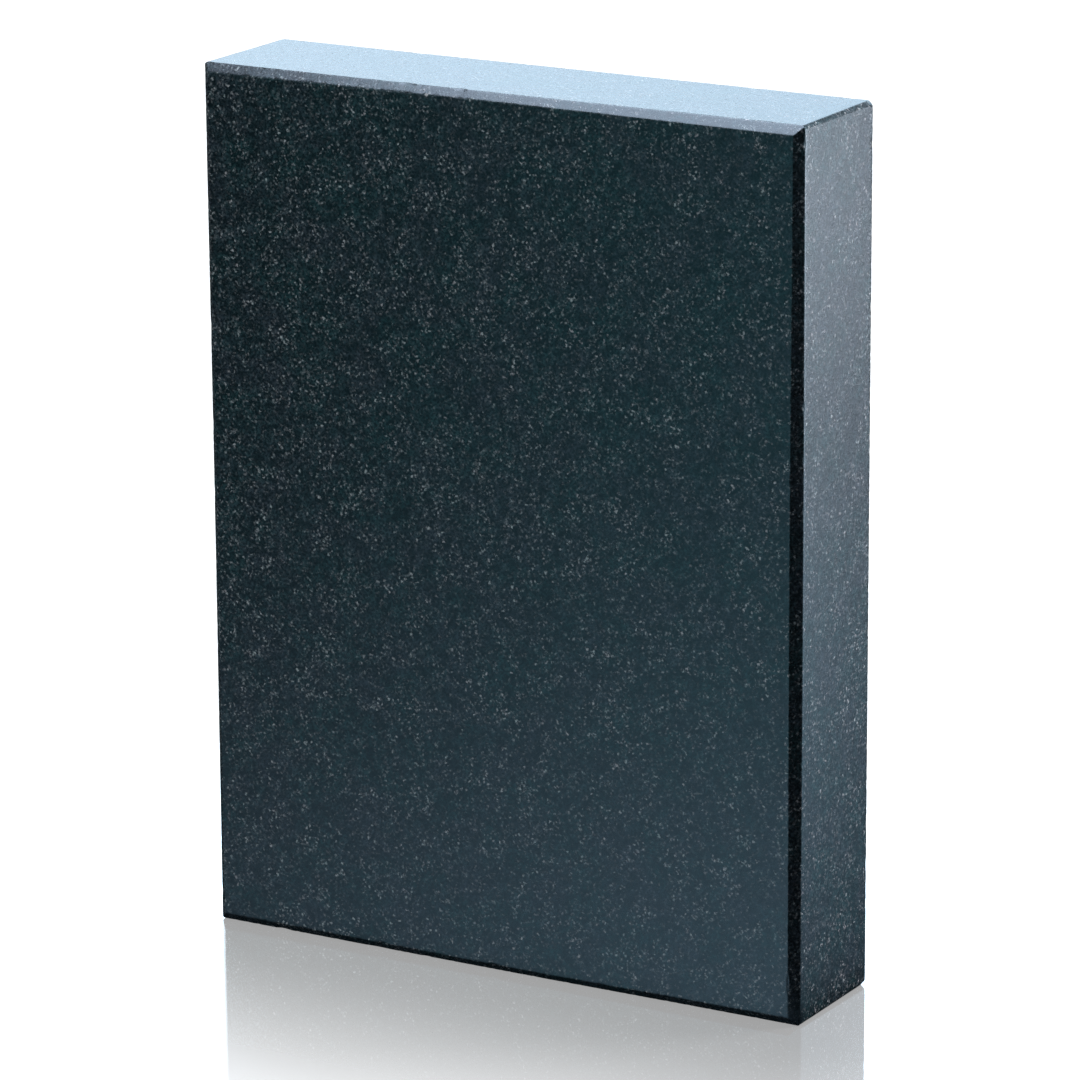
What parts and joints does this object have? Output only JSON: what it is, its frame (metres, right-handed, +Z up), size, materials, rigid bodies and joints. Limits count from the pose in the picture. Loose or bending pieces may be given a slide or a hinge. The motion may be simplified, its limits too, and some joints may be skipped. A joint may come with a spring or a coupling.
{
  "type": "granite slab",
  "caption": "Heavy rectangular block of fine-grained black stone with a flat work face, chamfered round its rim, for stamping and skiving leather on.",
  "frame": {"origin": "centre of the bottom short end, at the height of the surface it stands on", "axes": "+Z up along the slab's length, +X to the right across its width, work face towards -Y and plain back towards +Y"},
  "size_m": [0.2286, 0.0508, 0.3048],
  "materials": {
    "granite": "honed and lightly polished fine-grained black granite with pale grey flecks"
  },
  "bodies": {
    "root": {"granite_block": "granite"}
  },
  "joints": []
}
